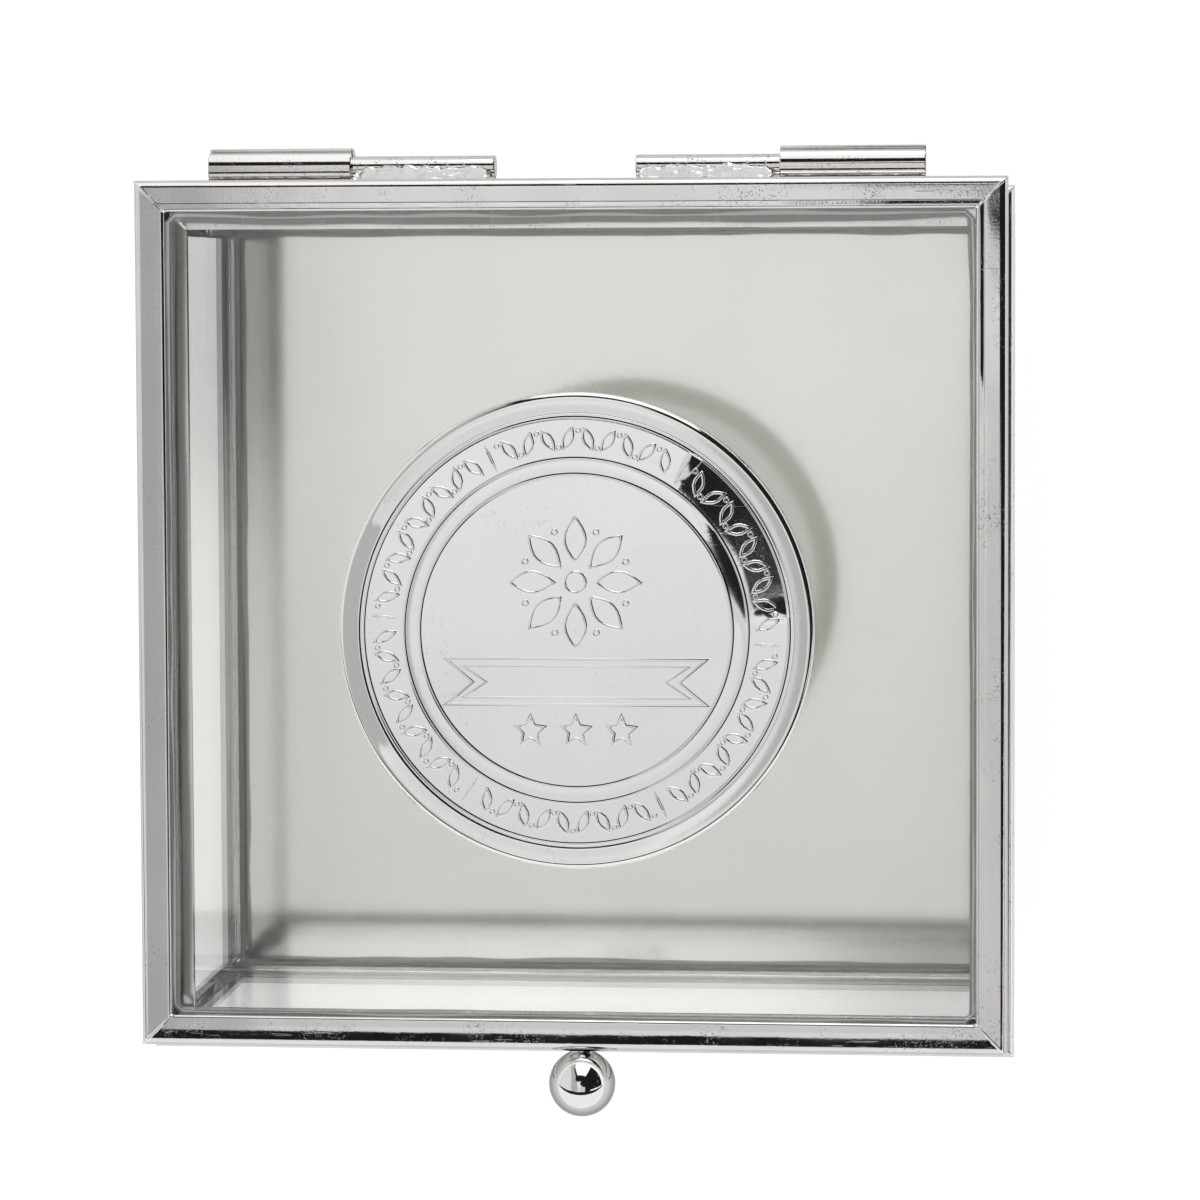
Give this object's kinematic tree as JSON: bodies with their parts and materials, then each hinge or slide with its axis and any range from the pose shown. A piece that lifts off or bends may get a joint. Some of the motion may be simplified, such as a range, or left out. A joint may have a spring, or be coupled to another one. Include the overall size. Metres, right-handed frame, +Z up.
{
  "type": "glass trinket box",
  "caption": "Square glass box in mitred metal strip with a hinged glass lid, a mirror floor, a ball knob and a round stamped medallion on the lid.",
  "frame": {"origin": "centre of the base on the plane where its felt rests on the table", "axes": "+Z up, -Y towards the front with the ball knob, +X to the right seen from the front"},
  "size_m": [0.0907, 0.1004, 0.0338],
  "materials": {
    "frame_metal": "bright silver-coloured plating over folded strip, with fine pits and scratches",
    "hinge_metal": "bright plated tube and rod",
    "knob_metal": "polished plated ball",
    "medallion_metal": "bright stamped and plated disc",
    "solder": "lumpy tin solder, plated over",
    "wall_glass": "clear 3 mm sheet with cut edges",
    "lid_glass": "clear 2 mm sheet",
    "mirror_glass": "clear 2 mm sheet, silvered on its underside",
    "silvering": "silver layer with grey paint behind it",
    "clear_glue": "clear set glue",
    "felt": "thin black felt"
  },
  "bodies": {
    "base": {"barrel_solder_left": "solder", "barrel_solder_right": "solder", "base_bottom_corner_solder": "solder", "base_bottom_frame_back": "frame_metal", "base_bottom_frame_front": "frame_metal", "base_bottom_frame_left": "frame_metal", "base_bottom_frame_right": "frame_metal", "base_felt": "felt", "base_top_corner_solder": "solder", "base_top_frame_back": "frame_metal", "base_top_frame_front": "frame_metal", "base_top_frame_left": "frame_metal", "base_top_frame_right": "frame_metal", "corner_post_back_left": "frame_metal", "corner_post_back_right": "frame_metal", "corner_post_front_left": "frame_metal", "corner_post_front_right": "frame_metal", "floor_glue_bead": "clear_glue", "hinge_barrel_left": "hinge_metal", "hinge_barrel_right": "hinge_metal", "mirror_floor": "mirror_glass", "mirror_silvering": "silvering", "wall_glass_back": "wall_glass", "wall_glass_front": "wall_glass", "wall_glass_left": "wall_glass", "wall_glass_right": "wall_glass"},
    "lid": {"hinge_pin_left": "hinge_metal", "hinge_pin_right": "hinge_metal", "knob_ball": "knob_metal", "knob_solder": "solder", "lid_corner_solder": "solder", "lid_frame_back": "frame_metal", "lid_frame_front": "frame_metal", "lid_frame_left": "frame_metal", "lid_frame_right": "frame_metal", "lid_glass": "lid_glass", "lid_glue_bead": "clear_glue", "medallion": "medallion_metal", "medallion_adhesive_pad": "clear_glue", "pin_solder_left": "solder", "pin_solder_right": "solder"}
  },
  "joints": [
    {"name": "lid_hinge", "type": "hinge", "parent": "base", "child": "lid", "pos_m": [-0.0013, 0.04715, 0.02665], "axis": [-1, 0, 0], "range_deg": [0, 180]}
  ]
}
